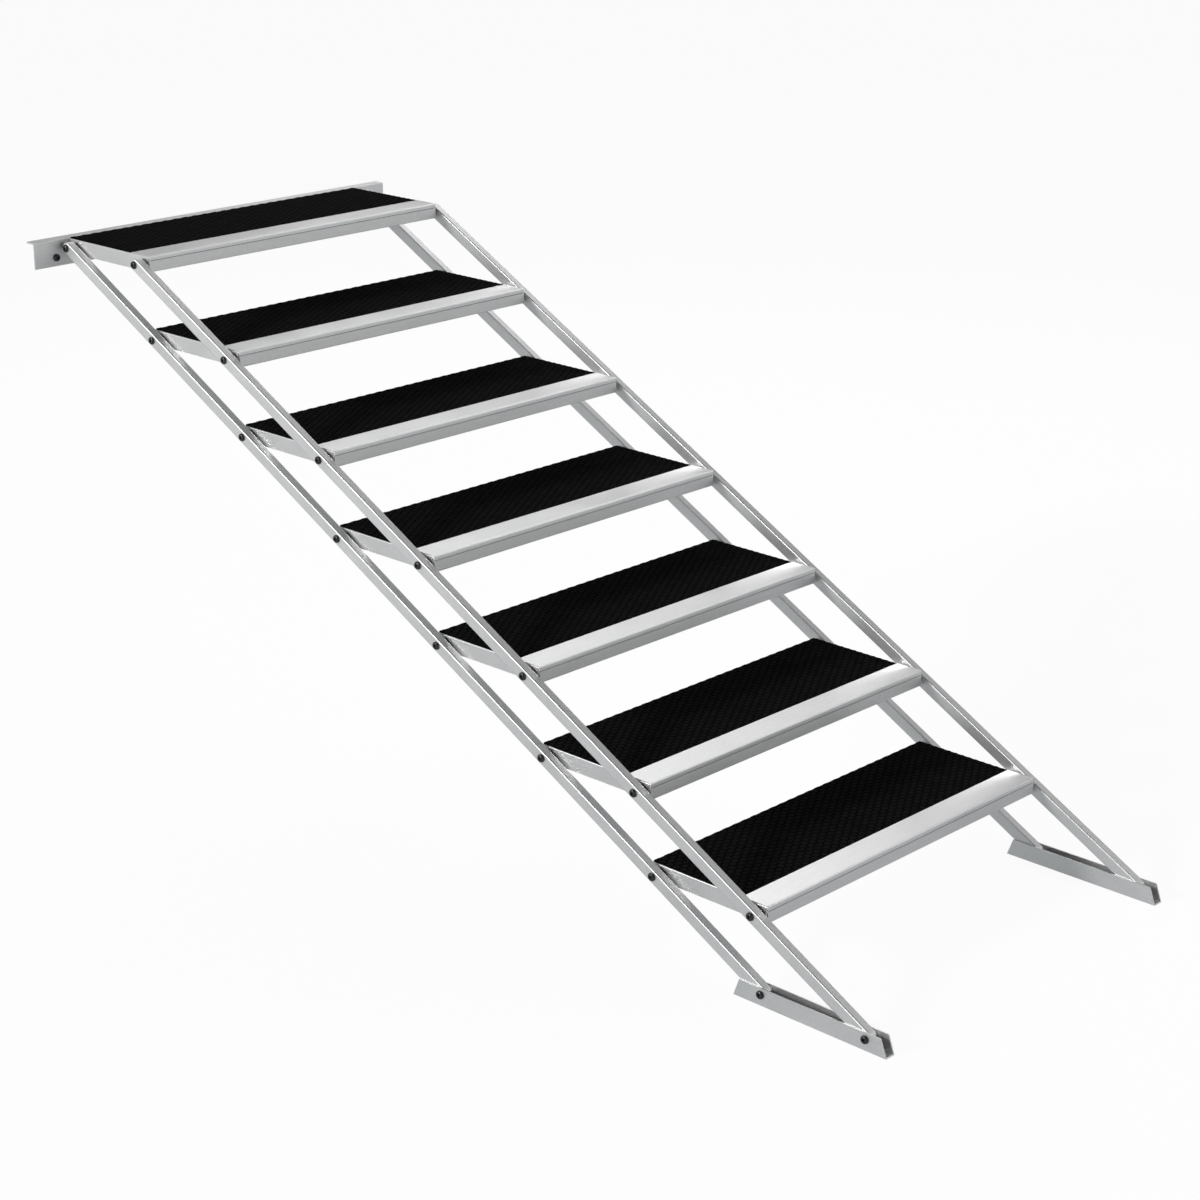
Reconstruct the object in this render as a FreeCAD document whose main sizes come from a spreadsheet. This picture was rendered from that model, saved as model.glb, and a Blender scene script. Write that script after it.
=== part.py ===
import FreeCAD, Part
import math
import os
import re
import Sketcher

# A self-levelling dog stair that hangs from a dock. Seven treads and two feet are held between
# two pairs of rails. Each pair of rails makes a parallelogram with the treads and the feet, so
# they all stay level while the rails swing.
#
# Frame: +X to the right across the stair, +Y towards the dock, +Z up, millimetres. The origin is
# on the rear face of the dock bracket, midway between its two dock bolts.

DIMENSIONS = [
    # alias, size, what it is
    ("tread_count", 7, "treads"),
    ("tread_width", 762, "tread, side to side"),
    ("bolt_span", 222.5, "front pivot to rear pivot"),
    ("front_overhang", 20, "front pivot to the face of the nosing"),
    ("rear_overhang", 19.7, "rear pivot to the rear of the tread"),
    ("pivot_depth", 16.4, "top of the nosing down to the pivots"),
    ("face_height", 31.5, "front face of a tread, nosing and pan"),
    ("step_run", 267.7, "tread to tread, level"),
    ("step_rise", 143.1, "tread to tread, upright"),
    ("foot_share", 0.938, "last tread to foot, as a share of a step"),
    ("sheet_gauge", 2, "pan sheet"),
    ("pan_bend", 1.8, "outer bend of the pan's edges"),
    ("corner_slit", 1.8, "open slit at each of the pan's corners"),
    ("nosing_depth", 57.5, "nosing, front to back"),
    ("nosing_lip", 8.6, "nosing's front lip"),
    ("nosing_gauge", 1.6, "nosing sheet"),
    ("nosing_bend", 2.6, "outer bend of the nosing"),
    ("seam_gap", 1, "open seam between the nosing's lip and the pan's hem"),
    ("hem_bend", 1.2, "hem's folded lower edge"),
    ("mat_gauge", 2.2, "rubber mat with its ribs"),
    ("mat_inset", 2.5, "pan's side to the mat"),
    ("mat_joint", 0.4, "mat to the nosing, and to the pan's rear edge"),
    ("rail_gap", 5.3, "tread's side to the rail"),
    ("rail_width", 17.3, "rail tube, across the stair"),
    ("rail_height", 24.1, "rail tube, in the plane it swings in"),
    ("rail_wall", 2, "rail tube's wall"),
    ("rail_corner", 2.6, "rail tube's outer corner"),
    ("block_length", 34, "end block, from the pivot into the tube"),
    ("block_fit", 0.1, "end block's clearance in the tube"),
    ("bolt_radius", 4, "shank of every bolt"),
    ("head_radius", 7.6, "button head"),
    ("head_height", 4.6, "button head"),
    ("head_dome", 3.2, "button head's rounding"),
    ("socket_size", 5, "hex socket, across flats"),
    ("socket_depth", 2.6, "hex socket"),
    ("fixed_clearance", 0.1, "radial, bolt in the pieces that it clamps"),
    ("pivot_clearance", 0.06, "radial, bolt in a hole that turns on it"),
    ("loose_clearance", 0.4, "radial, the same in each loop's fourth pivot"),
    ("thread_clearance", 0.02, "radial, bolt in its thread and rivet in its hole"),
    ("running_gap", 0.15, "between faces that turn on each other"),
    ("spacer_radius", 9, "spacer between rail and tread"),
    ("washer_radius", 8, "washer under the lock nut"),
    ("washer_gauge", 1.6, "washer"),
    ("sleeve_radius", 6, "crush sleeve inside the rail"),
    ("nut_size", 13, "lock nut, across flats"),
    ("nut_height", 6.2, "lock nut's hexagon"),
    ("collar_radius", 5.7, "lock nut's collar"),
    ("collar_height", 1.8, "lock nut's collar"),
    ("bolt_tail", 1.6, "shank beyond the lock nut"),
    ("foot_height", 33.1, "foot channel"),
    ("foot_drop", 20.7, "foot's pivots down to its sole"),
    ("foot_wall", 2.5, "foot channel's walls and floor"),
    ("foot_play", 0.5, "rail to the foot's wall, each side"),
    ("foot_front", 43.6, "front pivot to the front of the sole"),
    ("foot_rear", 59.4, "rear pivot to the rear of the sole"),
    ("foot_bevel", 12.2, "how far the foot's ends lean in, sole to top"),
    ("foot_edge", 1.6, "rounded edges along the sole"),
    ("bracket_length", 932, "dock bracket"),
    ("bracket_drop", 53.5, "dock bracket's upright leg"),
    ("bracket_reach", 25.2, "dock bracket's level leg, front to back"),
    ("bracket_gauge", 3, "dock bracket"),
    ("bracket_bend", 1.6, "dock bracket's outer corner"),
    ("dock_bolt_out", 33.6, "tread's side to the dock bolt"),
    ("dock_bolt_down", 36.3, "bracket's top to the dock bolts"),
    ("dock_bolt_length", 45, "dock bolt under its head"),
    ("shoulder_radius", 5, "dock bolt's shoulder, in the bracket"),
    ("rivet_count", 4, "bracket rivets"),
    ("rivet_pitch", 200, "bracket rivet to rivet"),
    ("rivet_radius", 1.9, "bracket rivet's shank"),
    ("rivet_head", 3.8, "bracket rivet's domed head, radius"),
    ("rivet_dome", 1.8, "bracket rivet's domed head, height"),
    ("rivet_tail", 3.2, "bracket rivet's flush tail, radius"),
    ("tail_depth", 1.2, "bracket rivet's flush tail, depth"),
]
ALIASES = {alias for alias, _, _ in DIMENSIONS}
SIDES = (("left", -1), ("right", 1))
ROWS = ("front", "rear")
Z_AXIS = FreeCAD.Vector(0, 0, 1)
ORIGIN = FreeCAD.Vector(0, 0, 0)
UNTURNED = FreeCAD.Rotation()

doc = FreeCAD.newDocument("dog_ramp")
dims = doc.addObject("Spreadsheet::Sheet", "dims")
for row, (alias, size, meaning) in enumerate(DIMENSIONS, start=1):
    dims.set(f"A{row}", meaning)
    dims.set(f"B{row}", str(size))
    dims.setAlias(f"B{row}", alias)
doc.recompute()
sub_parts = []


def bound(expression):
    """The expression with each alias written as the sheet's own cell."""
    def cell(word):
        return f"dims.{word[0]}" if word[0] in ALIASES else word[0]
    return re.sub(r"[a-z_]+", cell, str(expression))


def value(expression):
    """A number worked out from the sheet."""
    return float(dims.evalExpression(bound(expression)))


# Expressions that several sub-parts share, in each one's own frame.
PITCH = "sqrt( step_run ^ 2 + step_rise ^ 2 )"
RAIL_SPAN = f"( tread_count - 1 + foot_share ) * {PITCH}"
PAN_FRONT = "nosing_gauge - front_overhang"
PAN_REAR = "bolt_span + rear_overhang"
PAN_TOP = "pivot_depth - nosing_gauge"
PAN_BOTTOM = "pivot_depth - face_height"
TUBE_BORE = "rail_width - 2 * rail_wall"
FOOT_WIDTH = "rail_width + 2 * foot_play + 2 * foot_wall"

# Places worked out from the driving dimensions.
TREAD_COUNT = int(value("tread_count"))
HALF_TREAD = value("tread_width / 2")
PIVOT_Z = value("dock_bolt_down - pivot_depth")
PIVOT_Y = {"rear": value("0 - bracket_gauge - rear_overhang")}
PIVOT_Y["front"] = PIVOT_Y["rear"] - value("bolt_span")
FOOT_STEPS = TREAD_COUNT - 1 + value("foot_share")
RAIL_INNER = HALF_TREAD + value("rail_gap")
RAIL_OUTER = RAIL_INNER + value("rail_width")
RAIL_MIDDLE = (RAIL_INNER + RAIL_OUTER) / 2
FLANGE_INNER = HALF_TREAD - value("sheet_gauge + running_gap")
SLOPE = math.degrees(math.atan2(value("step_rise"), value("step_run")))
TILT = FreeCAD.Rotation(FreeCAD.Vector(1, 0, 0), SLOPE)


def pivot_place(row, steps, x=0.0):
    """A point on the front or rear pivots' axis, a number of steps down the stair."""
    y = PIVOT_Y[row] - steps * value("step_run")
    return FreeCAD.Vector(x, y, PIVOT_Z - steps * value("step_rise"))


# ---------------------------------------------------------------- sketches and features


def new_body(label):
    body = doc.addObject("PartDesign::Body", label)
    body.Label = label
    return body


def new_sketch(body, name, role, offset="0"):
    """A sketch on one of the body's own origin planes, moved along the plane's normal."""
    sketch = body.newObject("Sketcher::SketchObject", name)
    plane = next(f for f in body.Origin.OriginFeatures if f.Role == role)
    sketch.AttachmentSupport = [(plane, "")]
    sketch.MapMode = "FlatFace"
    sketch.setExpression("AttachmentOffset.Base.z", bound(offset))
    return sketch


def set_size(sketch, constraint, expression):
    """Adds a constraint whose size is bound to the sheet."""
    index = sketch.addConstraint(constraint)
    sketch.setExpression(f"Constraints[{index}]", bound(expression))


def hold_x(sketch, edge, end, across):
    set_size(sketch, Sketcher.Constraint("DistanceX", -1, 1, edge, end, value(across)), across)


def hold_y(sketch, edge, end, up):
    set_size(sketch, Sketcher.Constraint("DistanceY", -1, 1, edge, end, value(up)), up)


def draw_polygon(sketch, corners):
    """A closed outline of straight edges through corners given as sheet expressions."""
    points = [FreeCAD.Vector(value(across), value(up), 0) for across, up in corners]
    first = sketch.GeometryCount
    for i, point in enumerate(points):
        sketch.addGeometry(Part.LineSegment(point, points[(i + 1) % len(points)]), False)
    for i, (across, up) in enumerate(corners):
        after = first + (i + 1) % len(corners)
        sketch.addConstraint(Sketcher.Constraint("Coincident", first + i, 2, after, 1))
        hold_x(sketch, first + i, 1, across)
        hold_y(sketch, first + i, 1, up)


def draw_rectangle(sketch, left, low, right, high):
    draw_polygon(sketch, [(left, low), (right, low), (right, high), (left, high)])


def draw_circle(sketch, across, up, radius):
    centre = FreeCAD.Vector(value(across), value(up), 0)
    edge = sketch.addGeometry(Part.Circle(centre, Z_AXIS, value(radius)), False)
    hold_x(sketch, edge, 3, across)
    hold_y(sketch, edge, 3, up)
    set_size(sketch, Sketcher.Constraint("Radius", edge, value(radius)), radius)


def draw_hexagon(sketch, size):
    """A hexagon about the origin, its size given across flats."""
    half = f"( {size} ) / 2"
    corner = f"( {size} ) / sqrt( 3 )"
    draw_polygon(sketch, [
        (corner, "0"),
        (f"{corner} / 2", half),
        (f"0 - {corner} / 2", half),
        (f"0 - {corner}", "0"),
        (f"0 - {corner} / 2", f"0 - {half}"),
        (f"{corner} / 2", f"0 - {half}"),
    ])


def draw_round_ended(sketch, far, radius):
    """A bar's outline with a half circle about the origin and another about (far, 0)."""
    ends = []
    for across, start in (("0", -math.pi / 2), (far, math.pi / 2)):
        circle = Part.Circle(FreeCAD.Vector(value(across), 0, 0), Z_AXIS, value(radius))
        arc = sketch.addGeometry(Part.ArcOfCircle(circle, start, start + math.pi), False)
        hold_x(sketch, arc, 3, across)
        hold_y(sketch, arc, 3, "0")
        ends.append(arc)
    near, away = ends
    for first, last, side in ((near, away, 1), (away, near, -1)):
        tips = [FreeCAD.Vector(value(x), side * value(radius), 0) for x in ("0", far)]
        line = Part.LineSegment(*(tips if side > 0 else reversed(tips)))
        edge = sketch.addGeometry(line, False)
        sketch.addConstraint(Sketcher.Constraint("Tangent", first, 2, edge, 1))
        sketch.addConstraint(Sketcher.Constraint("Tangent", edge, 2, last, 1))
    set_size(sketch, Sketcher.Constraint("Radius", near, value(radius)), radius)
    sketch.addConstraint(Sketcher.Constraint("Equal", near, away))


def draw_round_nosed(sketch, back, half_height, radius):
    """A block's outline from (back, 0) to a nose that is an arc about the origin."""
    reach = math.sqrt(value(radius) ** 2 - value(half_height) ** 2)
    corners = [
        FreeCAD.Vector(reach, value(half_height), 0),
        FreeCAD.Vector(value(back), value(half_height), 0),
        FreeCAD.Vector(value(back), -value(half_height), 0),
        FreeCAD.Vector(reach, -value(half_height), 0),
    ]
    edges = []
    for start, end in zip(corners, corners[1:]):
        edges.append(sketch.addGeometry(Part.LineSegment(start, end), False))
    swing = math.atan2(value(half_height), reach)
    circle = Part.Circle(ORIGIN, Z_AXIS, value(radius))
    edges.append(sketch.addGeometry(Part.ArcOfCircle(circle, -swing, swing), False))
    for i, edge in enumerate(edges):
        after = edges[(i + 1) % len(edges)]
        sketch.addConstraint(Sketcher.Constraint("Coincident", edge, 2, after, 1))
    hold_x(sketch, edges[-1], 3, "0")
    hold_y(sketch, edges[-1], 3, "0")
    set_size(sketch, Sketcher.Constraint("Radius", edges[-1], value(radius)), radius)
    hold_y(sketch, edges[0], 1, half_height)
    hold_y(sketch, edges[2], 2, f"0 - ( {half_height} )")
    for edge, up in ((edges[0], half_height), (edges[1], f"0 - ( {half_height} )")):
        hold_x(sketch, edge, 2, back)
        hold_y(sketch, edge, 2, up)


def draw_rivet_row(sketch, up, radius):
    for column in range(int(value("rivet_count"))):
        across = f"( {column} - ( rivet_count - 1 ) / 2 ) * rivet_pitch"
        draw_circle(sketch, across, up, radius)


def add_pad(body, name, sketch, length, symmetric=False, reverse=False):
    pad = body.newObject("PartDesign::Pad", name)
    pad.Profile = sketch
    pad.setExpression("Length", bound(length))
    pad.SideType = "Symmetric" if symmetric else "One side"
    pad.Reversed = reverse
    doc.recompute()
    return pad


def add_pocket(body, name, sketch, length, symmetric=False, reverse=False):
    """A pocket against the sketch's normal, or along it in reverse. It has to remove something."""
    before = body.Shape.Volume
    pocket = body.newObject("PartDesign::Pocket", name)
    pocket.Profile = sketch
    pocket.setExpression("Length", bound(length))
    pocket.SideType = "Symmetric" if symmetric else "One side"
    pocket.Reversed = reverse
    doc.recompute()
    if not body.Shape.Volume < before - 1e-3:
        raise RuntimeError(f"{body.Label}: {name} cut nothing")
    return pocket


def add_fillet(body, name, feature, radius, chosen):
    """Rounds those of the feature's edges for which chosen(edge) is true."""
    edges = feature.Shape.Edges
    names = [f"Edge{i}" for i, edge in enumerate(edges, start=1) if chosen(edge)]
    fillet = body.newObject("PartDesign::Fillet", name)
    fillet.Base = (feature, names)
    fillet.setExpression("Radius", bound(radius))
    doc.recompute()


def lies_at(axis, level):
    """A test for edges that keep to one level along X, Y or Z (axis 0, 1 or 2)."""
    def test(edge):
        box = edge.BoundBox
        low = (box.XMin, box.YMin, box.ZMin)[axis]
        high = (box.XMax, box.YMax, box.ZMax)[axis]
        return abs(low - level) < 0.01 and abs(high - level) < 0.01
    return test


def place(node, position=ORIGIN, rotation=UNTURNED):
    """Puts a finished sub-part where it belongs and lists it for writing."""
    node.Placement = FreeCAD.Placement(position, rotation)
    sub_parts.append(node)


def place_group(label, pieces):
    """One node of small pieces: a copy of each pattern's solid at the placement beside it."""
    copies = []
    for pattern, placement in pieces:
        copy = pattern.Shape.copy()
        copy.Placement = placement
        copies.append(copy)
    group = doc.addObject("Part::Feature", label)
    group.Label = label
    group.Shape = Part.makeCompound(copies)
    sub_parts.append(group)


# ---------------------------------------------------------------- treads


def make_pan(number):
    """A pan folded from sheet, open below, with slit corners and four pivot holes.

    Its front flange is hemmed below the nosing's lip, so that the two faces lie flush. Its own
    origin is midway between its front pivots.
    """
    body = new_body(f"tread_pan_{number}")
    outline = new_sketch(body, "outline", "XY_Plane", PAN_BOTTOM)
    draw_rectangle(outline, "0 - tread_width / 2", PAN_FRONT, "tread_width / 2", PAN_REAR)
    block = add_pad(body, "block", outline, f"{PAN_TOP} - ( {PAN_BOTTOM} )")
    add_fillet(body, "bends", block, "pan_bend", lies_at(2, value(PAN_TOP)))

    inner_front = f"{PAN_FRONT} + sheet_gauge"
    inner_rear = f"{PAN_REAR} - sheet_gauge"
    inner_side = "tread_width / 2 - sheet_gauge"
    hollow = new_sketch(body, "hollow", "XY_Plane", PAN_BOTTOM)
    draw_rectangle(hollow, f"0 - ( {inner_side} )", inner_front, inner_side, inner_rear)
    depth = f"{PAN_TOP} - ( {PAN_BOTTOM} ) - sheet_gauge"
    add_pocket(body, "hollow_cut", hollow, depth, reverse=True)

    slits = new_sketch(body, "slits", "XY_Plane", PAN_BOTTOM)
    for near, far in (
        (inner_front, f"{inner_front} + corner_slit"),
        (f"{inner_rear} - corner_slit", inner_rear),
    ):
        side = f"{inner_side} - 0.5"
        draw_rectangle(slits, "0 - tread_width / 2 - 1", near, f"0 - ( {side} )", far)
        draw_rectangle(slits, side, near, "tread_width / 2 + 1", far)
    add_pocket(body, "slits_cut", slits, depth, reverse=True)

    hem_front = "0 - front_overhang"
    hem = new_sketch(body, "hem", "XY_Plane", PAN_BOTTOM)
    draw_rectangle(hem, "0 - tread_width / 2", hem_front, "tread_width / 2", PAN_FRONT)
    hemmed = add_pad(body, "hem_pad", hem, "face_height - nosing_lip - seam_gap")
    in_front = lies_at(1, value(hem_front))
    at_bottom = lies_at(2, value(PAN_BOTTOM))
    add_fillet(body, "hem_fold", hemmed, "hem_bend", lambda e: in_front(e) and at_bottom(e))

    front_fit = "pivot_clearance" if number == 1 else "loose_clearance"
    for row, across, fit in (("front", "0", front_fit), ("rear", "bolt_span", "pivot_clearance")):
        holes = new_sketch(body, f"{row}_pivot", "YZ_Plane")
        draw_circle(holes, across, "0", f"bolt_radius + {fit}")
        add_pocket(body, f"{row}_pivot_cut", holes, "tread_width + 2", symmetric=True)
    return body


def add_bracket_rivet_holes(pan):
    """Holes through the first tread's rear flange."""
    row = new_sketch(pan, "rivet_row", "XZ_Plane", "0 - bolt_span")
    draw_rivet_row(row, "0", "rivet_radius + thread_clearance")
    add_pocket(pan, "rivet_row_cut", row, "rear_overhang + 1")


def make_nosing(number):
    """An angle over the pan's front edge: a broad strip on top and a short lip in front."""
    body = new_body(f"nosing_{number}")
    front = "0 - front_overhang"
    profile = new_sketch(body, "profile", "YZ_Plane")
    draw_polygon(profile, [
        (front, "pivot_depth - nosing_lip"),
        (PAN_FRONT, "pivot_depth - nosing_lip"),
        (PAN_FRONT, PAN_TOP),
        (f"{front} + nosing_depth", PAN_TOP),
        (f"{front} + nosing_depth", "pivot_depth"),
        (front, "pivot_depth"),
    ])
    strip = add_pad(body, "strip", profile, "tread_width", symmetric=True)
    in_front = lies_at(1, value(front))
    on_top = lies_at(2, value("pivot_depth"))
    add_fillet(body, "bend", strip, "nosing_bend", lambda edge: in_front(edge) and on_top(edge))
    return body


def make_mat(number):
    """The rubber mat, a plain slab from the nosing to the tread's rear edge."""
    mat = doc.addObject("Part::Box", f"tread_mat_{number}")
    mat.Label = f"tread_mat_{number}"
    depth = "bolt_span + rear_overhang + front_overhang - nosing_depth - 2 * mat_joint"
    mat.setExpression("Length", bound("tread_width - 2 * mat_inset"))
    mat.setExpression("Width", bound(depth))
    mat.setExpression("Height", bound("mat_gauge"))
    return mat


def build_treads():
    mat_corner = FreeCAD.Vector(
        value("mat_inset - tread_width / 2"),
        value("nosing_depth + mat_joint - front_overhang"),
        value(PAN_TOP),
    )
    for number in range(1, TREAD_COUNT + 1):
        corner = pivot_place("front", number - 1)
        pan = make_pan(number)
        if number == 1:
            add_bracket_rivet_holes(pan)
        place(pan, corner)
        place(make_nosing(number), corner)
        place(make_mat(number), corner + mat_corner)


# ---------------------------------------------------------------- rails


def make_rail(label, foot_fit):
    """A rectangular tube with rounded ends. It runs from its top pivot, its own origin, along -Y."""
    body = new_body(label)
    outline = new_sketch(body, "outline", "YZ_Plane")
    draw_round_ended(outline, f"0 - {RAIL_SPAN}", "rail_height / 2")
    bar = add_pad(body, "bar", outline, "rail_width", symmetric=True)
    half_width = value("rail_width / 2")
    left, right = lies_at(0, -half_width), lies_at(0, half_width)
    add_fillet(body, "corners", bar, "rail_corner", lambda edge: left(edge) or right(edge))

    bore = new_sketch(body, "bore", "XZ_Plane", "0 - rail_height")
    half_high = "( rail_height / 2 - rail_wall )"
    draw_rectangle(
        bore, f"0 - ( {TUBE_BORE} ) / 2", f"0 - {half_high}", f"( {TUBE_BORE} ) / 2", half_high
    )
    add_pocket(body, "bore_cut", bore, f"{RAIL_SPAN} + 2 * rail_height", reverse=True)

    hole = new_sketch(body, "tread_hole", "YZ_Plane")
    draw_circle(hole, "0", "0", "bolt_radius + fixed_clearance")
    cut = add_pocket(body, "tread_hole_cut", hole, "rail_width + 2", symmetric=True)
    pattern = body.newObject("PartDesign::LinearPattern", "tread_holes")
    pattern.Originals = [cut]
    along = next(f for f in body.Origin.OriginFeatures if f.Role == "Y_Axis")
    pattern.Direction = (along, [""])
    pattern.Reversed = True
    pattern.setExpression("Length", bound(f"( tread_count - 1 ) * {PITCH}"))
    pattern.setExpression("Occurrences", bound("tread_count"))
    body.Tip = pattern
    doc.recompute()

    foot_hole = new_sketch(body, "foot_hole", "YZ_Plane")
    draw_circle(foot_hole, f"0 - {RAIL_SPAN}", "0", f"bolt_radius + {foot_fit}")
    add_pocket(body, "foot_hole_cut", foot_hole, "rail_width + 2", symmetric=True)
    return body


def make_end_block(label, fit):
    """The solid block in a tube's end, with a hole for the pivot bolt at its own origin."""
    body = new_body(label)
    outline = new_sketch(body, "outline", "YZ_Plane")
    half_high = "( rail_height / 2 - rail_wall - block_fit )"
    draw_round_nosed(outline, "0 - block_length", half_high, "rail_height / 2 - block_fit")
    add_pad(body, "block", outline, f"{TUBE_BORE} - 2 * block_fit", symmetric=True)
    hole = new_sketch(body, "hole", "YZ_Plane")
    draw_circle(hole, "0", "0", f"bolt_radius + {fit}")
    add_pocket(body, "hole_cut", hole, "rail_width + 2", symmetric=True)
    return body


def build_rails():
    top_block = make_end_block("top_block", "fixed_clearance")
    for row, foot_fit in zip(ROWS, ("loose_clearance", "pivot_clearance")):
        bottom_block = make_end_block(f"{row}_bottom_block", foot_fit)
        turned = FreeCAD.Rotation(FreeCAD.Vector(1, 0, 0), SLOPE + 180)
        blocks = []
        for side, sign in SIDES:
            top = pivot_place(row, 0, sign * RAIL_MIDDLE)
            place(make_rail(f"{side}_{row}_rail", foot_fit), top, TILT)
            bottom = pivot_place(row, FOOT_STEPS, sign * RAIL_MIDDLE)
            blocks.append((top_block, FreeCAD.Placement(top, TILT)))
            blocks.append((bottom_block, FreeCAD.Placement(bottom, turned)))
        place_group(f"{row}_rail_end_blocks", blocks)


# ---------------------------------------------------------------- fasteners


def make_bolt(label, shank_length):
    """A button-head bolt: its head rises along +Z from its own origin, its shank goes down."""
    body = new_body(label)
    head = new_sketch(body, "head", "XY_Plane")
    draw_circle(head, "0", "0", "head_radius")
    head_pad = add_pad(body, "head_pad", head, "head_height")
    add_fillet(body, "dome", head_pad, "head_dome", lies_at(2, value("head_height")))
    shank = new_sketch(body, "shank", "XY_Plane")
    draw_circle(shank, "0", "0", "bolt_radius")
    add_pad(body, "shank_pad", shank, shank_length, reverse=True)
    socket = new_sketch(body, "socket", "XY_Plane", "head_height")
    draw_hexagon(socket, "socket_size")
    add_pocket(body, "socket_cut", socket, "socket_depth")
    return body


def add_shoulder(bolt):
    """A thicker neck under a dock bolt's head, as deep as the bracket is thick."""
    shoulder = new_sketch(bolt, "shoulder", "XY_Plane")
    draw_circle(shoulder, "0", "0", "shoulder_radius")
    add_pad(bolt, "shoulder_pad", shoulder, "bracket_gauge", reverse=True)


def make_rivet(label):
    """A rivet: a domed head on +Z, a shank through flange and bracket, and a flush tail."""
    body = new_body(label)
    head = new_sketch(body, "head", "XY_Plane")
    draw_circle(head, "0", "0", "rivet_head")
    head_pad = add_pad(body, "head_pad", head, "rivet_dome")
    add_fillet(body, "dome", head_pad, "rivet_dome * 0.8", lies_at(2, value("rivet_dome")))
    shank = new_sketch(body, "shank", "XY_Plane")
    draw_circle(shank, "0", "0", "rivet_radius")
    add_pad(body, "shank_pad", shank, "sheet_gauge + bracket_gauge", reverse=True)
    tail = new_sketch(body, "tail", "XY_Plane", "0 - sheet_gauge - bracket_gauge")
    draw_circle(tail, "0", "0", "rivet_tail")
    add_pad(body, "tail_pad", tail, "tail_depth")
    return body


def make_nut(label):
    """A lock nut: its bearing face is at its own origin and its collar is on +Z."""
    body = new_body(label)
    hexagon = new_sketch(body, "hexagon", "XY_Plane")
    draw_hexagon(hexagon, "nut_size")
    add_pad(body, "hexagon_pad", hexagon, "nut_height")
    collar = new_sketch(body, "collar", "XY_Plane")
    draw_circle(collar, "0", "0", "collar_radius")
    add_pad(body, "collar_pad", collar, "nut_height + collar_height")
    thread = new_sketch(body, "thread", "XY_Plane")
    draw_circle(thread, "0", "0", "bolt_radius + thread_clearance")
    add_pocket(body, "thread_cut", thread, "nut_height + collar_height + 1", reverse=True)
    return body


def make_ring(label, radius, length):
    """A washer, spacer or sleeve around a bolt, centred on its own origin along Z."""
    body = new_body(label)
    ring = new_sketch(body, "ring", "XY_Plane")
    draw_circle(ring, "0", "0", radius)
    draw_circle(ring, "0", "0", "bolt_radius + fixed_clearance")
    add_pad(body, "ring_pad", ring, length, symmetric=True)
    return body


def facing(sign):
    """The turn that points a fastener's own +Z to the left (-1) or to the right (1)."""
    return FreeCAD.Rotation(FreeCAD.Vector(0, 1, 0), 90 * sign)


def build_fasteners():
    grip = "rail_width + rail_gap + sheet_gauge + running_gap + washer_gauge"
    nut_stack = "nut_height + collar_height + bolt_tail"
    bolt = make_bolt("pivot_bolt", f"{grip} + {nut_stack}")
    nut = make_nut("lock_nut")
    washer = make_ring("washer", "washer_radius", "washer_gauge")
    spacer = make_ring("spacer", "spacer_radius", "rail_gap - running_gap")
    sleeve = make_ring("sleeve", "sleeve_radius", TUBE_BORE)
    washer_middle = FLANGE_INNER - value("washer_gauge / 2")
    nut_face = FLANGE_INNER - value("washer_gauge")
    spacer_middle = RAIL_INNER - value("( rail_gap - running_gap ) / 2")
    # pattern, node, distance from the middle of the stair, which way its +Z points, first tread
    kinds = (
        (bolt, "pivot_bolts", RAIL_OUTER, 1, 0),
        (spacer, "pivot_spacers", spacer_middle, 1, 0),
        (washer, "pivot_washers", washer_middle, 1, 0),
        (nut, "lock_nuts", nut_face, -1, 0),
        (sleeve, "rail_sleeves", RAIL_MIDDLE, 1, 1),
    )
    for row in ROWS:
        for pattern, name, x, way, first in kinds:
            pieces = []
            for _, sign in SIDES:
                for steps in range(first, TREAD_COUNT):
                    at = pivot_place(row, steps, sign * x)
                    pieces.append((pattern, FreeCAD.Placement(at, facing(sign * way))))
            place_group(f"{row}_{name}", pieces)

    foot_bolt = make_bolt("foot_bolt", FOOT_WIDTH)
    for side, sign in SIDES:
        x = sign * (RAIL_MIDDLE + value(FOOT_WIDTH) / 2)
        pieces = []
        for row in ROWS:
            at = pivot_place(row, FOOT_STEPS, x)
            pieces.append((foot_bolt, FreeCAD.Placement(at, facing(sign))))
        place_group(f"{side}_foot_bolts", pieces)


# ---------------------------------------------------------------- feet


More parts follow.
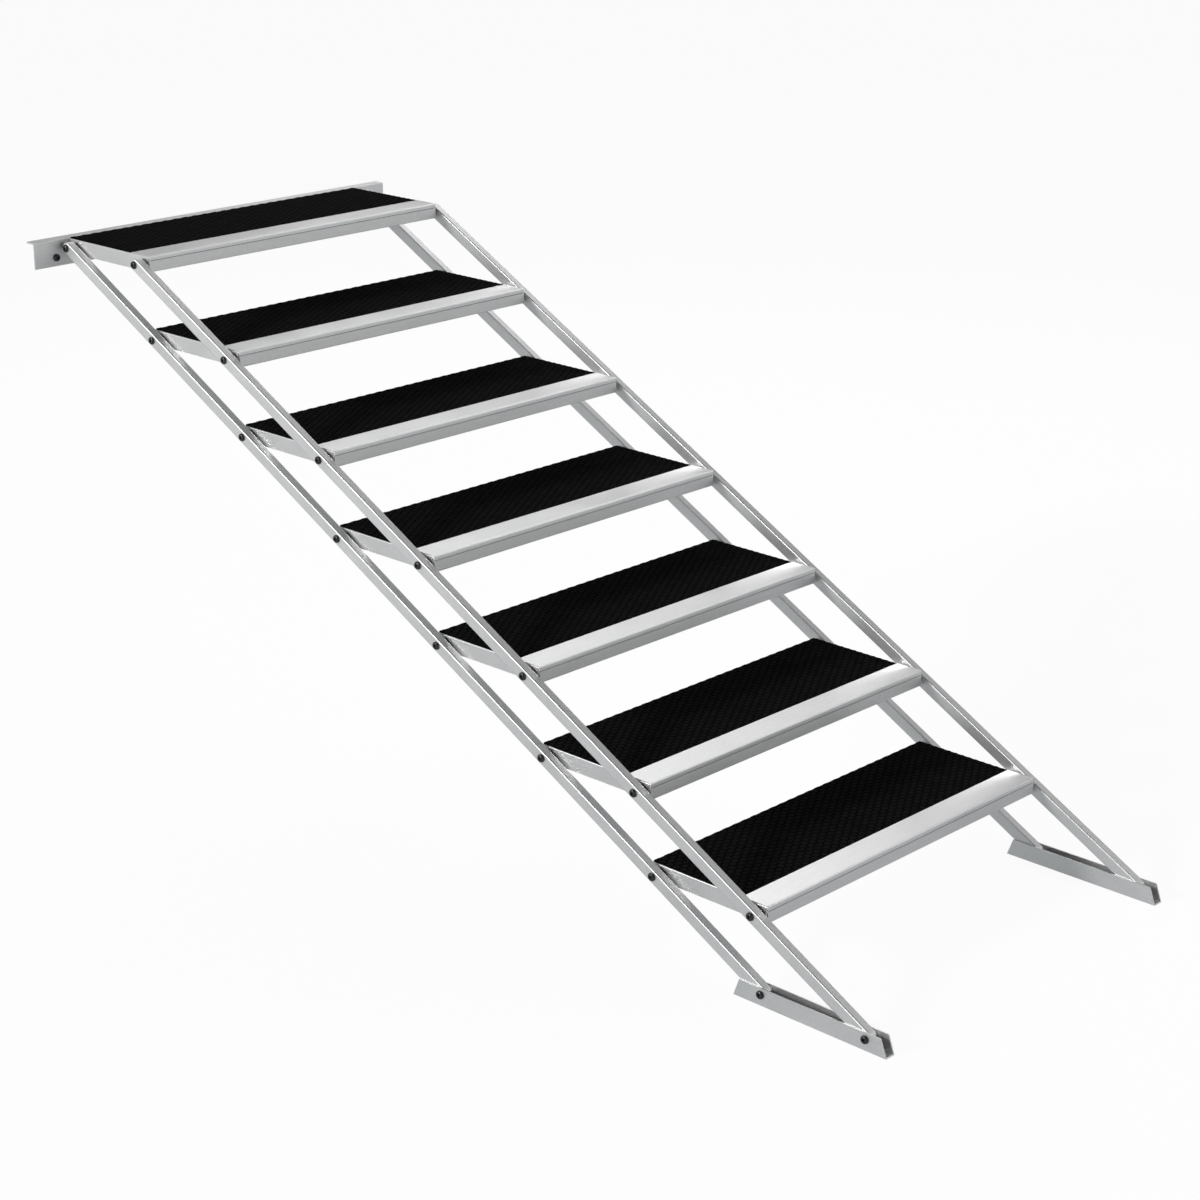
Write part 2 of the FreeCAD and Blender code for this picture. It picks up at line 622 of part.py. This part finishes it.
def make_foot(label, sign):
    """An open channel with leaning ends. Its own origin is at its front pivot, mid-width."""
    body = new_body(label)
    half = f"( {FOOT_WIDTH} ) / 2"
    inner = f"( {half} - foot_wall )"
    sole = "0 - foot_drop"
    rim = "foot_height - foot_drop"
    rear_end = "( bolt_span + foot_rear )"
    profile = new_sketch(body, "profile", "XZ_Plane", f"0 - {rear_end}")
    draw_polygon(profile, [
        (f"0 - {half}", sole),
        (half, sole),
        (half, rim),
        (inner, rim),
        (inner, f"{sole} + foot_wall"),
        (f"0 - {inner}", f"{sole} + foot_wall"),
        (f"0 - {inner}", rim),
        (f"0 - {half}", rim),
    ])
    channel = add_pad(body, "channel", profile, f"{rear_end} + foot_front")
    half_width = value(half)
    outside = (lies_at(0, -half_width), lies_at(0, half_width))
    on_sole = lies_at(2, value(sole))
    add_fillet(
        body, "sole_edges", channel, "foot_edge",
        lambda edge: on_sole(edge) and any(test(edge) for test in outside),
    )

    ends = new_sketch(body, "ends", "YZ_Plane")
    draw_polygon(ends, [
        ("0 - foot_front", sole),
        ("foot_bevel - foot_front", rim),
        ("foot_bevel - foot_front", f"{rim} + 1"),
        ("0 - foot_front - 1", f"{rim} + 1"),
        ("0 - foot_front - 1", sole),
    ])
    draw_polygon(ends, [
        (rear_end, sole),
        (f"{rear_end} + 1", sole),
        (f"{rear_end} + 1", f"{rim} + 1"),
        (f"{rear_end} - foot_bevel", f"{rim} + 1"),
        (f"{rear_end} - foot_bevel", rim),
    ])
    add_pocket(body, "ends_cut", ends, f"{FOOT_WIDTH} + 2", symmetric=True)

    for row, across in zip(ROWS, ("0", "bolt_span")):
        tapped = new_sketch(body, f"{row}_thread", "YZ_Plane")
        draw_circle(tapped, across, "0", "bolt_radius + thread_clearance")
        add_pocket(body, f"{row}_thread_cut", tapped, f"{FOOT_WIDTH} + 2", symmetric=True)
        drilled = new_sketch(body, f"{row}_hole", "YZ_Plane")
        draw_circle(drilled, across, "0", "bolt_radius + fixed_clearance")
        add_pocket(body, f"{row}_hole_cut", drilled, FOOT_WIDTH, reverse=sign > 0)
    return body


def build_feet():
    for side, sign in SIDES:
        corner = pivot_place("front", FOOT_STEPS, sign * RAIL_MIDDLE)
        place(make_foot(f"{side}_foot", sign), corner)


# ---------------------------------------------------------------- dock bracket


def make_bracket():
    """An angle: its upright leg is on the dock's face and its level leg lies on the deck."""
    body = new_body("top_bracket")
    deck = "dock_bolt_down - bracket_gauge"
    profile = new_sketch(body, "profile", "YZ_Plane")
    draw_polygon(profile, [
        ("0 - bracket_gauge", "dock_bolt_down - bracket_drop"),
        ("0", "dock_bolt_down - bracket_drop"),
        ("0", deck),
        ("bracket_reach - bracket_gauge", deck),
        ("bracket_reach - bracket_gauge", "dock_bolt_down"),
        ("0 - bracket_gauge", "dock_bolt_down"),
    ])
    angle = add_pad(body, "angle", profile, "bracket_length", symmetric=True)
    in_front = lies_at(1, value("0 - bracket_gauge"))
    on_top = lies_at(2, value("dock_bolt_down"))
    add_fillet(body, "bend", angle, "bracket_bend", lambda edge: in_front(edge) and on_top(edge))

    bolt_holes = new_sketch(body, "bolt_holes", "XZ_Plane")
    for sign in ("0 - ", ""):
        across = f"{sign}( tread_width / 2 + dock_bolt_out )"
        draw_circle(bolt_holes, across, "0", "shoulder_radius + fixed_clearance")
    add_pocket(body, "bolt_holes_cut", bolt_holes, "bracket_gauge + 1", reverse=True)
    for name, radius, depth in (
        ("rivet_holes", "rivet_radius + thread_clearance", "bracket_gauge + 1"),
        ("rivet_seats", "rivet_tail + thread_clearance", "tail_depth"),
    ):
        row = new_sketch(body, name, "XZ_Plane")
        draw_rivet_row(row, "dock_bolt_down - pivot_depth", radius)
        add_pocket(body, f"{name}_cut", row, depth, reverse=True)
    return body


def build_bracket():
    place(make_bracket())
    towards_front = FreeCAD.Rotation(FreeCAD.Vector(1, 0, 0), 90)
    leg_front = value("0 - bracket_gauge")
    bolt_x = HALF_TREAD + value("dock_bolt_out")
    dock_bolt = make_bolt("dock_bolt", "dock_bolt_length")
    add_shoulder(dock_bolt)
    bolts = []
    for _, sign in SIDES:
        at = FreeCAD.Vector(sign * bolt_x, leg_front, 0)
        bolts.append((dock_bolt, FreeCAD.Placement(at, towards_front)))
    place_group("dock_bolts", bolts)

    rivet = make_rivet("bracket_rivet")
    rivet_y = leg_front - value("sheet_gauge")
    middle = value("( rivet_count - 1 ) / 2")
    rivets = []
    for column in range(int(value("rivet_count"))):
        at = FreeCAD.Vector((column - middle) * value("rivet_pitch"), rivet_y, PIVOT_Z)
        rivets.append((rivet, FreeCAD.Placement(at, towards_front)))
    place_group("bracket_rivets", rivets)


def check_and_write():
    """Stops if anything failed, then writes each sub-part to parts/."""
    doc.recompute()
    for item in doc.Objects:
        if {"Invalid", "Error"} & set(item.State):
            raise RuntimeError(f"{item.Label} failed: {item.State}")
    os.makedirs("parts", exist_ok=True)
    for node in sub_parts:
        shape = node.Shape
        if shape.isNull() or not shape.isValid():
            raise RuntimeError(f"{node.Label} has no valid shape")
        shape.exportStep(f"parts/{node.Label}.step")
        print(f"{node.Label}: {len(shape.Solids)} solid(s), {shape.Volume / 1000:.1f} cm3")


build_bracket()
build_treads()
build_rails()
build_fasteners()
build_feet()
check_and_write()
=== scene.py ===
import math

import bmesh
import bpy
from mathutils import Matrix, Vector


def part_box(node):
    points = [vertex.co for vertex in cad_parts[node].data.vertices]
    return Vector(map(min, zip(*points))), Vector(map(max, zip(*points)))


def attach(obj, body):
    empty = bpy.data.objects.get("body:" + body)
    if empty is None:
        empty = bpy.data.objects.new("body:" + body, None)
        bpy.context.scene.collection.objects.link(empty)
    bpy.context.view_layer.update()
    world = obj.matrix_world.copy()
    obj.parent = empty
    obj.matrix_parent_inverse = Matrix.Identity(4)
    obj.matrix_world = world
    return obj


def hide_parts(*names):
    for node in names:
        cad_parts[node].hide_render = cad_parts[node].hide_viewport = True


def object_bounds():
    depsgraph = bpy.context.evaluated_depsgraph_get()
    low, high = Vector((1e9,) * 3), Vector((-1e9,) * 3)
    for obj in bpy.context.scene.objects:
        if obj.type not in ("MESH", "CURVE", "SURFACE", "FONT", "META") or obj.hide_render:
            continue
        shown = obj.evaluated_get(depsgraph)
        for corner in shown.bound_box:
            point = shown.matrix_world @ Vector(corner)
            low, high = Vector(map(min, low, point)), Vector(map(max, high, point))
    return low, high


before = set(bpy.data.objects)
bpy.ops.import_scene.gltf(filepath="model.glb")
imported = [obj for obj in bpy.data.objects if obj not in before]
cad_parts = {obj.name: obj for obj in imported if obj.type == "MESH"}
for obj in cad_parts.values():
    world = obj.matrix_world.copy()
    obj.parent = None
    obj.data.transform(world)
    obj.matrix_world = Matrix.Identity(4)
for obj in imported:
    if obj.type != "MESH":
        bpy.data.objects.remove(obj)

# The looks of a self-levelling dog stair: satin aluminium, black-oxide bolts and treads covered
# with studded rubber. Metres, in the CAD model's own frame: +X right, +Y to the dock, +Z up.

CAD_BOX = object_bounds()
CENTRE = (CAD_BOX[0] + CAD_BOX[1]) / 2
GROUND = CAD_BOX[0].z
TREADS = sum(name.startswith("tread_mat_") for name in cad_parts)


# ---------------------------------------------------------------- camera, floor and light

CAMERA_AZIMUTH = math.radians(-46.444)
CAMERA_ELEVATION = math.radians(19.291)
CAMERA_ROLL = math.radians(0.233)
CAMERA_DISTANCE = 5.1565
AIM_RIGHT = 0.0486
AIM_UP = -0.0921
LENS_MM = 80.61
SENSOR_MM = 36.0

FLOOR_SIZE = 60.0
# albedo, tint of the glow, strength of the glow
FLOOR_AS_LIT = (0.2, (0.95, 1.0, 1.02, 1.0), 0.34)
FLOOR_AS_SEEN = (0.1, (1.0, 1.0, 1.0, 1.0), 0.93)

# name, azimuth from +Y towards +X, elevation, power
SOFTBOXES = (
    ("back", 10, 38, 8.0),
    ("back_right", 50, 38, 36.0),
    ("right", 100, 38, 7.0),
    ("front_right_high", 134, 38, 20.0),
    ("front_right_low", 134, 15, 9.0),
    ("front", 170, 15, 37.0),
    ("left", -70, 15, 60.0),
)
BOX_DISTANCE = 5.0
BOX_WIDTH = 3.0
BOX_HEIGHT = 1.8
SUN_DIRECTION = Vector((-1.3, 0.5, 0.625))
SUN_STRENGTH = 1.3
SUN_ANGLE = math.radians(8.0)
# The studio's brightness, from its walls up to its ceiling. The heights are the sines of their angles.
SKY_LOW = 0.41
SKY_HIGH = 0.05
SKY_LOW_HEIGHT = 0.05
SKY_HIGH_HEIGHT = 0.6


def add_camera():
    """The camera, placed by its angle and distance from the middle of the model."""
    back = Vector((
        math.sin(CAMERA_AZIMUTH) * math.cos(CAMERA_ELEVATION),
        -math.cos(CAMERA_AZIMUTH) * math.cos(CAMERA_ELEVATION),
        math.sin(CAMERA_ELEVATION),
    ))
    level = Vector((0, 0, 1)).cross(back).normalized()
    upright = back.cross(level)
    right = level * math.cos(CAMERA_ROLL) + upright * math.sin(CAMERA_ROLL)
    up = back.cross(right)
    place = CENTRE + level * AIM_RIGHT + upright * AIM_UP + back * CAMERA_DISTANCE
    data = bpy.data.cameras.new("camera")
    data.lens = LENS_MM
    data.sensor_width = SENSOR_MM
    data.clip_end = 200
    camera = bpy.data.objects.new("camera", data)
    turn = Matrix((right, up, back)).transposed().to_4x4()
    camera.matrix_world = Matrix.Translation(place) @ turn
    bpy.context.scene.collection.objects.link(camera)
    bpy.context.scene.camera = camera


def direction(azimuth, elevation):
    """A unit vector: azimuth is turned from +Y towards +X, both in degrees."""
    a, e = math.radians(azimuth), math.radians(elevation)
    return Vector((math.sin(a) * math.cos(e), math.cos(a) * math.cos(e), math.sin(e)))


def add_light(name, kind, towards):
    """A light on that side of the model, aimed at its middle and not seen itself."""
    data = bpy.data.lights.new(name, kind)
    light = bpy.data.objects.new(name, data)
    turn = towards.to_track_quat("Z", "Y").to_matrix().to_4x4()
    light.matrix_world = Matrix.Translation(CENTRE + towards.normalized() * BOX_DISTANCE) @ turn
    light.visible_camera = False
    bpy.context.scene.collection.objects.link(light)
    return data


def add_lights():
    sun = add_light("key_sun", "SUN", SUN_DIRECTION)
    sun.energy = SUN_STRENGTH
    sun.angle = SUN_ANGLE
    for name, azimuth, elevation, power in SOFTBOXES:
        box = add_light(f"softbox_{name}", "AREA", direction(azimuth, elevation))
        box.shape = "RECTANGLE"
        box.size = BOX_WIDTH
        box.size_y = BOX_HEIGHT
        box.energy = power


def feed(tree, socket, given):
    """Links a value to a socket, or sets the socket to a constant."""
    if isinstance(given, bpy.types.NodeSocket):
        tree.links.new(given, socket)
    else:
        socket.default_value = given


def add(tree, kind, settings=None, **inputs):
    """A node with its settings, and with its inputs linked or set."""
    made = tree.nodes.new(kind)
    for name, setting in (settings or {}).items():
        setattr(made, name, setting)
    for name, given in inputs.items():
        feed(tree, made.inputs[name.replace("_", " ")], given)
    return made


def grey(level):
    return (level, level, level, 1.0)


def add_world():
    """A white backdrop for the camera, and a grey studio for everything that it lights."""
    world = bpy.data.worlds.new("studio")
    bpy.context.scene.world = world
    world.use_nodes = True
    tree = world.node_tree
    tree.nodes.clear()
    heading = add(tree, "ShaderNodeTexCoord").outputs["Generated"]
    height = add(tree, "ShaderNodeSeparateXYZ", Vector=heading).outputs["Z"]
    shade = add(tree, "ShaderNodeMapRange", {"interpolation_type": "SMOOTHSTEP"}, Value=height)
    shade.inputs["From Min"].default_value = SKY_LOW_HEIGHT
    shade.inputs["From Max"].default_value = SKY_HIGH_HEIGHT
    shade.inputs["To Min"].default_value = SKY_LOW
    shade.inputs["To Max"].default_value = SKY_HIGH
    studio = add(tree, "ShaderNodeBackground", Color=grey(1.0))
    tree.links.new(shade.outputs["Result"], studio.inputs["Strength"])
    backdrop = add(tree, "ShaderNodeBackground", Color=grey(1.0), Strength=1.0)
    seen = add(tree, "ShaderNodeLightPath").outputs["Is Camera Ray"]
    mixed = add(tree, "ShaderNodeMixShader", Fac=seen)
    tree.links.new(studio.outputs[0], mixed.inputs[1])
    tree.links.new(backdrop.outputs[0], mixed.inputs[2])
    out = add(tree, "ShaderNodeOutputWorld")
    tree.links.new(mixed.outputs[0], out.inputs["Surface"])


def add_floor():
    """A pale floor under the feet. The metal mirrors it as a grey studio floor."""
    mesh = bpy.data.meshes.new("floor")
    shape = bmesh.new()
    bmesh.ops.create_grid(shape, x_segments=8, y_segments=8, size=FLOOR_SIZE / 2)
    shape.to_mesh(mesh)
    shape.free()
    floor = bpy.data.objects.new("floor", mesh)
    floor.location = (CENTRE.x, CENTRE.y, GROUND)
    bpy.context.scene.collection.objects.link(floor)

    material = bpy.data.materials.new("studio_floor")
    material.use_nodes = True
    tree = material.node_tree
    tree.nodes.clear()
    seen = add(tree, "ShaderNodeLightPath").outputs["Is Camera Ray"]
    shades = []
    for albedo, tint, glow in (FLOOR_AS_LIT, FLOOR_AS_SEEN):
        matte = add(tree, "ShaderNodeBsdfDiffuse", Color=grey(albedo))
        lit = add(tree, "ShaderNodeEmission", Color=tint, Strength=glow)
        both = add(tree, "ShaderNodeAddShader")
        tree.links.new(matte.outputs[0], both.inputs[0])
        tree.links.new(lit.outputs[0], both.inputs[1])
        shades.append(both)
    mixed = add(tree, "ShaderNodeMixShader", Fac=seen)
    tree.links.new(shades[0].outputs[0], mixed.inputs[1])
    tree.links.new(shades[1].outputs[0], mixed.inputs[2])
    out = add(tree, "ShaderNodeOutputMaterial")
    tree.links.new(mixed.outputs[0], out.inputs["Surface"])
    mesh.materials.append(material)


# ---------------------------------------------------------------- sizes from the frame

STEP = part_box("nosing_1")[0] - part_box("nosing_2")[0]
SLOPE = math.atan2(STEP.z, STEP.y)
# The height and depth of the groove between a nosing's lip and its pan's hem.
SEAM_GAP = 0.001
SEAM_RECESS = 0.0016
# How far ahead of the first nosing, and below it, its step's stretch of the coordinates starts.
STEP_STARTS_AHEAD = 0.01
STEP_STARTS_BELOW = 0.05
# How thick the pale ends of the foot bolts are.
BOLT_END = 0.0005
MAT_LOW, MAT_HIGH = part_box("tread_mat_1")
MAT_SIZE = MAT_HIGH - MAT_LOW
STUD_ACROSS = 0.0256
STUD_ALONG = 0.0157
STUD_SIDES = 18
STUD_FOOT = MAT_SIZE.z * 0.72
STUD_SHOULDER = MAT_SIZE.z * 0.92
# radius, and height above the mat's base
STUD_RINGS = ((0.0066, STUD_FOOT), (0.0063, STUD_SHOULDER), (0.0054, MAT_SIZE.z * 0.985))
# Points of neighbouring studs closer than this are one point.
WELD = 1e-5
SMOOTH_BELOW = math.radians(35)


# ---------------------------------------------------------------- materials


def find_shader(tree):
    return next(n for n in tree.nodes if n.type == "BSDF_PRINCIPLED")


def new_material(name):
    """A node material, its tree, its Principled shader and the object's own coordinates."""
    material = bpy.data.materials.new(name)
    material.use_nodes = True
    tree = material.node_tree
    place = add(tree, "ShaderNodeTexCoord").outputs["Object"]
    return material, tree, find_shader(tree), place


def noise(tree, place, sizes, turn=(0.0, 0.0, 0.0), detail=3.0):
    """Noise whose features measure sizes along X, Y and Z, turned as a whole."""
    mapped = add(tree, "ShaderNodeMapping", {"vector_type": "TEXTURE"}, Vector=place)
    mapped.inputs["Scale"].default_value = sizes
    mapped.inputs["Rotation"].default_value = turn
    made = add(tree, "ShaderNodeTexNoise", Vector=mapped.outputs[0], Scale=1.0, Detail=detail)
    return made.outputs["Fac"]


def ranged(tree, value, low, high, start=0.3, end=0.7):
    """value, which runs from start to end, mapped to run from low to high."""
    made = add(tree, "ShaderNodeMapRange", Value=value)
    made.inputs["From Min"].default_value = start
    made.inputs["From Max"].default_value = end
    made.inputs["To Min"].default_value = low
    made.inputs["To Max"].default_value = high
    return made.outputs["Result"]


def blended(tree, share, first, second):
    """Two colours mixed by share."""
    made = add(tree, "ShaderNodeMix", {"data_type": "RGBA"})
    for socket, given in ((made.inputs[0], share), (made.inputs[6], first), (made.inputs[7], second)):
        feed(tree, socket, given)
    return made.outputs[2]


def bumped(tree, height, strength, depth):
    made = add(tree, "ShaderNodeBump", Height=height, Strength=strength, Distance=depth)
    return made.outputs["Normal"]


def aluminium(name, dark, light, roughness, along, turn=(0.0, 0.0, 0.0)):
    """Mill-finished aluminium, drawn along one axis (0, 1 or 2) of the turned coordinates.

    It has long fine drawing lines, a soft mottle of a few millimetres and broad handling marks.
    """
    material, tree, shader, place = new_material(name)
    sizes = [0.0007, 0.0007, 0.0007]
    sizes[along] = 0.05
    lines = noise(tree, place, sizes, turn, 2.0)
    mottle = noise(tree, place, (0.003, 0.003, 0.003), turn, 2.0)
    marks = noise(tree, place, (0.09, 0.09, 0.09), turn, 4.0)
    tone = blended(tree, ranged(tree, lines, 0.0, 1.0), dark, light)
    pale = ranged(tree, mottle, 0.965, 1.035)
    shade = add(tree, "ShaderNodeHueSaturation", Color=tone, Value=pale).outputs[0]
    tree.links.new(shade, shader.inputs["Base Color"])
    rough = ranged(tree, marks, roughness - 0.03, roughness + 0.04)
    tree.links.new(rough, shader.inputs["Roughness"])
    shader.inputs["Metallic"].default_value = 1.0
    tree.links.new(bumped(tree, lines, 0.06, 0.0001), shader.inputs["Normal"])
    return material


def rail_finish():
    return aluminium("rail_aluminium", grey(0.76), grey(0.84), 0.48, 1, (SLOPE, 0.0, 0.0))


def maths(tree, operation, *values):
    """The result of one sum or test."""
    made = add(tree, "ShaderNodeMath", {"operation": operation})
    for socket, given in zip(made.inputs, values):
        feed(tree, socket, given)
    return made.outputs[0]


def between(tree, value, low, high):
    """1 where value lies between low and high, otherwise 0."""
    above = maths(tree, "GREATER_THAN", value, low)
    below = maths(tree, "LESS_THAN", value, high)
    return maths(tree, "MULTIPLY", above, below)


def coordinates(tree):
    """The object's own X, Y and Z."""
    place = add(tree, "ShaderNodeTexCoord").outputs["Object"]
    return add(tree, "ShaderNodeSeparateXYZ", Vector=place).outputs


def in_first_step(tree, value, start, step):
    """A coordinate brought back to the first tread by whole steps."""
    return maths(tree, "WRAP", value, start + step, start)


def repaint(material, share, colour):
    """Blends another colour into a finish's own by share."""
    tree = material.node_tree
    socket = find_shader(tree).inputs["Base Color"]
    own = socket.links[0].from_socket
    tree.links.new(blended(tree, share, own, colour), socket)


def pan_finish():
    """The pans' aluminium, with painted shade: the seam between each nosing's lip and the pan's hem is
    painted near-black.
    """
    material = aluminium("pan_aluminium", grey(0.76), grey(0.84), 0.45, 0)
    tree = material.node_tree
    place = coordinates(tree)
    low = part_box("nosing_1")[0]
    y = in_first_step(tree, place["Y"], low.y - STEP_STARTS_AHEAD, STEP.y)
    z = in_first_step(tree, place["Z"], low.z - STEP_STARTS_BELOW, STEP.z)
    # Painted shade: the groove's back wall, between the lip and the hem, is painted near-black.
    deep = between(tree, y, low.y + SEAM_RECESS / 2, low.y + SEAM_RECESS * 1.05)
    level = between(tree, z, low.z - SEAM_GAP, low.z)
    repaint(material, maths(tree, "MULTIPLY", deep, level), grey(0.02))
    return material


def nosing_finish():
    return aluminium("nosing_aluminium", grey(0.82), grey(0.90), 0.33, 0)


def foot_finish():
    return aluminium("foot_aluminium", grey(0.76), grey(0.84), 0.45, 1)


def bracket_finish():
    return aluminium("bracket_aluminium", grey(0.76), grey(0.84), 0.45, 0)


def rivet_finish():
    return aluminium("rivet_aluminium", grey(0.78), grey(0.86), 0.35, 1)


def plain_metal(name, dark, light, metallic, roughness, grain):
    """A small turned or plated part: fine even grain and a patchy sheen."""
    material, tree, shader, place = new_material(name)
    fine = noise(tree, place, (grain, grain, grain), detail=4.0)
    patches = noise(tree, place, (0.006, 0.006, 0.006), detail=2.0)
    tone = blended(tree, ranged(tree, patches, 0.0, 1.0), dark, light)
    tree.links.new(tone, shader.inputs["Base Color"])
    rough = ranged(tree, fine, roughness - 0.06, roughness + 0.06)
    tree.links.new(rough, shader.inputs["Roughness"])
    shader.inputs["Metallic"].default_value = metallic
    tree.links.new(bumped(tree, fine, 0.1, 0.0001), shader.inputs["Normal"])
    return material


def bolt_finish():
    """Black oxide, but the foot bolts' ends, flush with the feet's inner walls, are as pale as the feet."""
    material = plain_metal("black_oxide", grey(0.04), grey(0.09), 0.85, 0.32, 0.0004)
    tree = material.node_tree
    place = coordinates(tree)
    low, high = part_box("right_foot")
    right = between(tree, place["X"], low.x - BOLT_END, low.x + BOLT_END)
    left = between(tree, place["X"], -low.x - BOLT_END, -low.x + BOLT_END)
    level = between(tree, place["Z"], low.z, high.z)
    repaint(material, maths(tree, "MULTIPLY", maths(tree, "ADD", right, left), level), grey(0.8))
    return material


def steel_finish():
    return plain_metal("zinc_steel", (0.52, 0.53, 0.55, 1), (0.66, 0.66, 0.66, 1), 1.0, 0.34, 0.0005)


def spacer_finish():
    return plain_metal("black_nylon", grey(0.02), grey(0.032), 0.0, 0.5, 0.0006)


def block_finish():
    return plain_metal("grey_nylon", grey(0.10), grey(0.14), 0.0, 0.62, 0.0008)


def rubber_finish():
    """Black rubber with a fine moulded grain. The studs' tops are painted paler than the rubber between
    them, a painted highlight, and their tone varies in random dusty patches.
    """
    material, tree, shader, place = new_material("black_rubber")
    grain = noise(tree, place, (0.0008, 0.0008, 0.0008), detail=3.0)
    dust = noise(tree, place, (0.03, 0.03, 0.03), detail=5.0)
    top_highlight_and_dust = blended(tree, ranged(tree, dust, 0.0, 1.0), grey(0.009), grey(0.014))
    height = add(tree, "ShaderNodeSeparateXYZ", Vector=place).outputs["Z"]
    # Painted highlight: the studs' tops are painted paler than the hollows between them.
    on_top = ranged(tree, height, 0.0, 1.0, STUD_FOOT, STUD_SHOULDER)
    tone = blended(tree, on_top, grey(0.003), top_highlight_and_dust)
    tree.links.new(tone, shader.inputs["Base Color"])
    rough = ranged(tree, grain, 0.6, 0.75)
    tree.links.new(rough, shader.inputs["Roughness"])
    shader.inputs["Specular IOR Level"].default_value = 0.004
    tree.links.new(bumped(tree, grain, 0.25, 0.0002), shader.inputs["Normal"])
    return material


FINISHES = {
    "rail": rail_finish,
    "pan": pan_finish,
    "nosing": nosing_finish,
    "foot": foot_finish,
    "bracket": bracket_finish,
    "rivet": rivet_finish,
    "dark_bolt": bolt_finish,
    "steel": steel_finish,
    "spacer": spacer_finish,
    "end_block": block_finish,
    "mat": rubber_finish,
}


def paint_nodes():
    """Gives each CAD node the finish that its slot names, and returns the finishes."""
    finishes = {slot: make() for slot, make in FINISHES.items()}
    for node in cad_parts.values():
        for slot in node.material_slots:
            slot.material = finishes[slot.material.name]
    return finishes


# ---------------------------------------------------------------- rubber mats

def cell_border():
    """The six-sided border of one stud's cell, as STUD_SIDES points about the stud."""
    half_across, half_along = STUD_ACROSS / 2, STUD_ALONG / 2
    reach = half_across ** 2 + half_along ** 2
    side = reach / (2 * half_across)
    upper = (reach / 2 - half_along ** 2) / half_across
    corners = [(side, 0), (upper, half_along), (-upper, half_along),
               (-side, 0), (-upper, -half_along), (upper, -half_along)]
    points = []
    per_side = STUD_SIDES // len(corners)
    for i, (x, y) in enumerate(corners):
        nx, ny = corners[(i + 1) % len(corners)]
        for step in range(per_side):
            share = step / per_side
            points.append((x + (nx - x) * share, y + (ny - y) * share))
    return points


def add_stud(shape, x, y, border):
    """One stud with the flat rubber around it."""
    loops = [[shape.verts.new((x + bx, y + by, STUD_FOOT)) for bx, by in border]]
    for radius, height in STUD_RINGS:
        loop = []
        for bx, by in border:
            scale = radius / math.hypot(bx, by)
            loop.append(shape.verts.new((x + bx * scale, y + by * scale, height)))
        loops.append(loop)
    for outer, inner in zip(loops, loops[1:]):
        for i in range(STUD_SIDES):
            j = (i + 1) % STUD_SIDES
            shape.faces.new((outer[i], outer[j], inner[j], inner[i]))
    middle = shape.verts.new((x, y, MAT_SIZE.z))
    last = loops[-1]
    for i in range(STUD_SIDES):
        shape.faces.new((last[i], last[(i + 1) % STUD_SIDES], middle))


def trim(shape, axis, half):
    """Cuts away what lies beyond half a width from the middle, on both sides."""
    for sign in (-1, 1):
        normal = Vector((0, 0, 0))
        normal[axis] = sign
        parts = shape.verts[:] + shape.edges[:] + shape.faces[:]
        bmesh.ops.bisect_plane(
            shape, geom=parts, plane_co=normal * half, plane_no=normal, clear_outer=True)


def close_below(shape):
    """Walls from the sheet's rim down to z = 0, and a flat underside."""
    rim = [edge for edge in shape.edges if edge.is_boundary]
    grown = bmesh.ops.extrude_edge_only(shape, edges=rim)["geom"]
    for vert in grown:
        if isinstance(vert, bmesh.types.BMVert):
            vert.co.z = 0
    under = [edge for edge in grown if isinstance(edge, bmesh.types.BMEdge) and edge.is_boundary]
    bmesh.ops.contextual_create(shape, geom=under)
    bmesh.ops.recalc_face_normals(shape, faces=shape.faces)


def make_mat_mesh():
    """A slab of rubber cut from studded sheet, its studs in staggered rows. Centred, on z = 0."""
    shape = bmesh.new()
    border = cell_border()
    columns = math.ceil(MAT_SIZE.x / STUD_ACROSS) + 1
    rows = math.ceil(MAT_SIZE.y / STUD_ALONG) + 1
    for i in range(-columns, columns + 1):
        for j in range(-rows, rows + 1):
            if (i + j) % 2 == 0:
                add_stud(shape, i * STUD_ACROSS / 2, j * STUD_ALONG / 2, border)
    bmesh.ops.remove_doubles(shape, verts=shape.verts, dist=WELD)
    trim(shape, 0, MAT_SIZE.x / 2)
    trim(shape, 1, MAT_SIZE.y / 2)
    close_below(shape)
    for face in shape.faces:
        face.smooth = True
    mesh = bpy.data.meshes.new("studded_mat")
    shape.to_mesh(mesh)
    shape.free()
    mesh.set_sharp_from_angle(angle=SMOOTH_BELOW)
    return mesh


def add_mats(finish):
    """A studded mat in place of each tread's plain one."""
    mesh = make_mat_mesh()
    mesh.materials.append(finish)
    for number in range(1, TREADS + 1):
        low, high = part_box(f"tread_mat_{number}")
        mat = bpy.data.objects.new(f"studded_mat_{number}", mesh)
        mat.location = ((low.x + high.x) / 2, (low.y + high.y) / 2, low.z)
        bpy.context.scene.collection.objects.link(mat)
        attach(mat, "top_step" if number == 1 else f"step_{number}")
        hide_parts(f"tread_mat_{number}")


bpy.context.scene.view_settings.view_transform = "Standard"
add_camera()
add_world()
add_floor()
add_lights()
finishes = paint_nodes()
add_mats(finishes["mat"])
